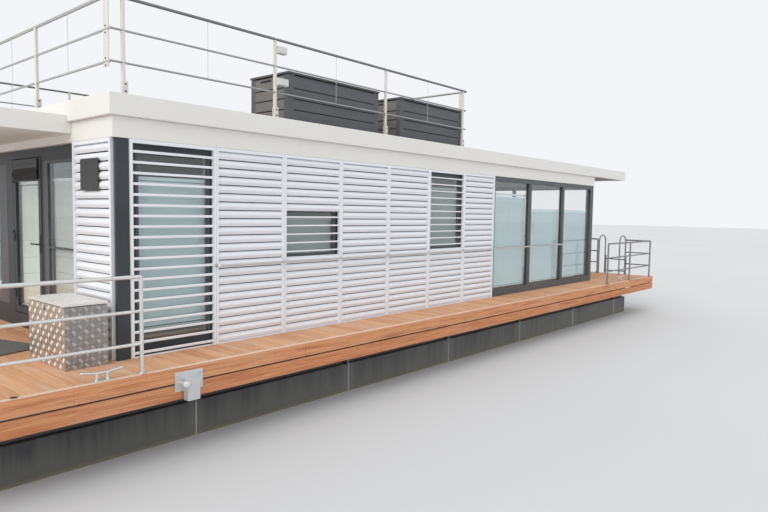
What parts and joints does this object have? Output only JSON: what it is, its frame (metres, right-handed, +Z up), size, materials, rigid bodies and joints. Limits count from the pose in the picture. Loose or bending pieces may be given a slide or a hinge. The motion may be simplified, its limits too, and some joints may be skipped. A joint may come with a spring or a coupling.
{
  "type": "houseboat",
  "caption": "Flat-roofed houseboat on a concrete pontoon: timber deck, louvred cabin walls, glazed living room, roof terrace, rails, swim ladder and lockers.",
  "frame": {"origin": "centre of the pontoon's flat bottom, midway along and across the deck", "axes": "+X along the boat towards the fore end, -Y the long side that the picture shows, +Z up"},
  "size_m": [16.244, 7.7223, 5.166],
  "materials": {
    "concrete": "cast concrete, streaked",
    "galvanised": "galvanised",
    "larch": "oiled boards",
    "anthracite": "satin powder coat",
    "white_paint": "satin",
    "white_louvre": "satin",
    "roof_film": "matt",
    "stainless": "satin polished",
    "glass": "clear",
    "blind_slat": "satin",
    "chequer_plate": "chequer plate",
    "box_plastic": "ribbed",
    "inner_panel": "painted board"
  },
  "bodies": {
    "boat": {"pontoon": "concrete", "deck_bearers": "galvanised", "deck_frame": "galvanised", "deck_boards": "larch", "deck_fascia": "larch", "cabin_floor": "inner_panel", "partition": "inner_panel", "wall_near": "anthracite", "wall_far": "anthracite", "wall_aft": "anthracite", "glazing_frame_near": "anthracite", "glazing_frame_far": "anthracite", "glazing_frame_fore": "anthracite", "glazing_pane_near": "glass", "glazing_pane_far": "glass", "glazing_pane_fore": "glass", "blinds_near": "blind_slat", "blinds_far": "blind_slat", "window_bay_near": "glass", "window_small_near": "glass", "window_tall_near": "glass", "window_bay_far": "glass", "window_small_far": "glass", "window_tall_far": "glass", "window_side_light_near": "glass", "window_side_light_far": "glass", "screen_near": "white_louvre", "screen_far": "white_louvre", "screen_end_near": "white_louvre", "screen_end_far": "white_louvre", "head_band": "white_paint", "roof_terrace": "roof_film", "roof_slab": "roof_film", "roof_band": "white_paint", "entrance_canopy": "white_paint", "aft_rail_near": "stainless", "aft_rail_far": "stainless", "fore_rail_near": "stainless", "fore_rail_far": "stainless", "roof_rail": "stainless", "grab_rail": "stainless", "ladder": "stainless", "locker": "chequer_plate", "roof_box_aft": "box_plastic", "roof_box_fore": "box_plastic", "mooring_bracket": "galvanised", "cleat_aft_near": "stainless", "cleat_aft_far": "stainless", "cleat_fore_near": "stainless", "cleat_fore_far": "stainless"},
    "entrance_door": {"entrance_door": "anthracite", "entrance_door_lever": "anthracite", "entrance_door_pane": "glass"},
    "sliding_door": {"sliding_door": "anthracite", "sliding_door_pane": "glass"},
    "locker_lid": {"locker_lid": "chequer_plate"},
    "roof_box_lid_aft": {"roof_box_lid_aft": "box_plastic"},
    "roof_box_lid_fore": {"roof_box_lid_fore": "box_plastic"},
    "ladder_fold": {"ladder_fold": "stainless"}
  },
  "joints": [
    {"name": "entrance_door_hinge", "type": "hinge", "parent": "boat", "child": "entrance_door", "pos_m": [-5.888, -0.262, 2.65], "axis": [0, 0, -1], "range_deg": [0, 100]},
    {"name": "sliding_door_track", "type": "slide", "parent": "boat", "child": "sliding_door", "axis": [0, -1, 0], "range_m": [0, 1.85]},
    {"name": "locker_lid_hinge", "type": "hinge", "parent": "boat", "child": "locker_lid", "pos_m": [-6.033, -2.7125, 2.109], "axis": [0, 1, 0], "range_deg": [0, 90]},
    {"name": "roof_box_lid_aft_hinge", "type": "hinge", "parent": "boat", "child": "roof_box_lid_aft", "pos_m": [-2.69, -2.139, 4.793], "axis": [-1, 0, 0], "range_deg": [0, 90]},
    {"name": "roof_box_lid_fore_hinge", "type": "hinge", "parent": "boat", "child": "roof_box_lid_fore", "pos_m": [-0.49, -2.139, 4.793], "axis": [-1, 0, 0], "range_deg": [0, 90]},
    {"name": "ladder_fold_hinge", "type": "hinge", "parent": "boat", "child": "ladder_fold", "pos_m": [8.222, -2.71, 1.07], "axis": [0, 1, 0], "range_deg": [0, 180]}
  ]
}
